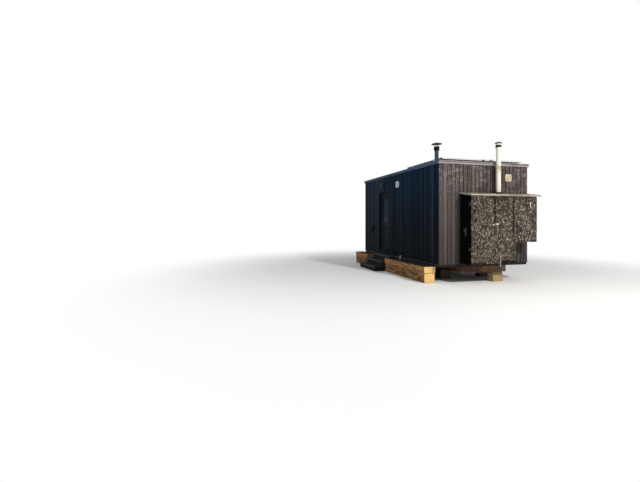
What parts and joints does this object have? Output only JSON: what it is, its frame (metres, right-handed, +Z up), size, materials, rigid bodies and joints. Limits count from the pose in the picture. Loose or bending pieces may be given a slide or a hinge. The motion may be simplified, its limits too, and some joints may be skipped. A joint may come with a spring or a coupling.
{
  "type": "shepherds hut",
  "caption": "Flat-roofed timber shepherds hut on a steel chassis, with a recessed glazed door, a lean-to sheet cupboard, flat solar panels, flue, vent pipe and steps.",
  "frame": {"origin": "on the ground, under the centre of the whole outline", "axes": "+Z up, +Y along the hut away from the cupboard end, +X away from the long side that has the door"},
  "size_m": [3.205, 5.35, 3.906],
  "materials": {
    "rusty_steel": "rusted",
    "pale_timber": "sawn",
    "floor_timber": "satin",
    "roof_sheet": "matt",
    "grey_timber": "weathered",
    "aluminium_trim": "satin",
    "panel_frame": "satin",
    "black_steel": "matt",
    "white_plastic": "weathered",
    "zinc_steel": "dull",
    "beige_plastic": "matt",
    "dark_boards": "stained, weathered",
    "glass": "clear",
    "black_plastic": "matt",
    "stained_sheet": "stained, flaking",
    "mossy_timber": "weathered, mossy",
    "regulator_metal": "dull",
    "black_timber": "stained",
    "sleeper_timber": "rough",
    "wall_lining": "painted"
  },
  "bodies": {
    "hut": {"chassis_frame": "rusty_steel", "support_blocks": "pale_timber", "floor_frame": "pale_timber", "floor_deck": "floor_timber", "front_end_wall": "wall_lining", "far_end_wall": "wall_lining", "back_side_wall": "wall_lining", "door_side_wall_near": "wall_lining", "door_side_wall_far": "wall_lining", "wall_over_door": "wall_lining", "front_end_boards": "dark_boards", "far_end_boards": "dark_boards", "back_side_boards": "dark_boards", "door_side_boards": "dark_boards", "skirt_strip": "aluminium_trim", "roof_deck": "floor_timber", "roof_membrane": "roof_sheet", "fascia": "grey_timber", "roof_edge_trim": "aluminium_trim", "solar_panel_left": "panel_frame", "solar_panel_right": "panel_frame", "panel_rails": "aluminium_trim", "stove_flue": "black_steel", "flue_flashing": "black_steel", "stove_cowl": "black_steel", "vent_pipe": "white_plastic", "vent_pipe_cowl": "white_plastic", "vent_pipe_bracket": "zinc_steel", "end_vent": "beige_plastic", "side_vent": "white_plastic", "door_frame": "dark_boards", "door_hinges": "zinc_steel", "door_lamp": "white_plastic", "wall_box": "black_plastic", "cupboard_frame": "pale_timber", "cupboard_sides": "stained_sheet", "cupboard_roof": "mossy_timber", "cupboard_right_panel": "stained_sheet", "cupboard_kick_board": "stained_sheet", "cupboard_hinges": "zinc_steel", "overflow_pipe": "white_plastic", "small_pipes": "white_plastic", "gas_regulator": "regulator_metal", "door_steps": "black_timber", "sleepers_near": "sleeper_timber", "sleepers_far": "sleeper_timber"},
    "door": {"door_leaf": "dark_boards", "door_glass": "glass", "door_ironmongery": "zinc_steel"},
    "cupboard_left_leaf": {"cupboard_left_door": "stained_sheet", "cupboard_left_fittings": "zinc_steel"},
    "cupboard_middle_leaf": {"cupboard_middle_door": "stained_sheet", "cupboard_middle_fittings": "zinc_steel"}
  },
  "joints": [
    {"name": "door_hinge", "type": "hinge", "parent": "hut", "child": "door", "pos_m": [-0.8685, 1.262, 1.5], "axis": [0, 0, 1], "range_deg": [0, 100]},
    {"name": "cupboard_left_hinge", "type": "hinge", "parent": "hut", "child": "cupboard_left_leaf", "pos_m": [-0.4305, -2.656, 1.3], "axis": [0, 0, -1], "range_deg": [0, 110]},
    {"name": "cupboard_middle_hinge", "type": "hinge", "parent": "hut", "child": "cupboard_middle_leaf", "pos_m": [0.7415, -2.656, 1.3], "axis": [0, 0, 1], "range_deg": [0, 110]}
  ]
}
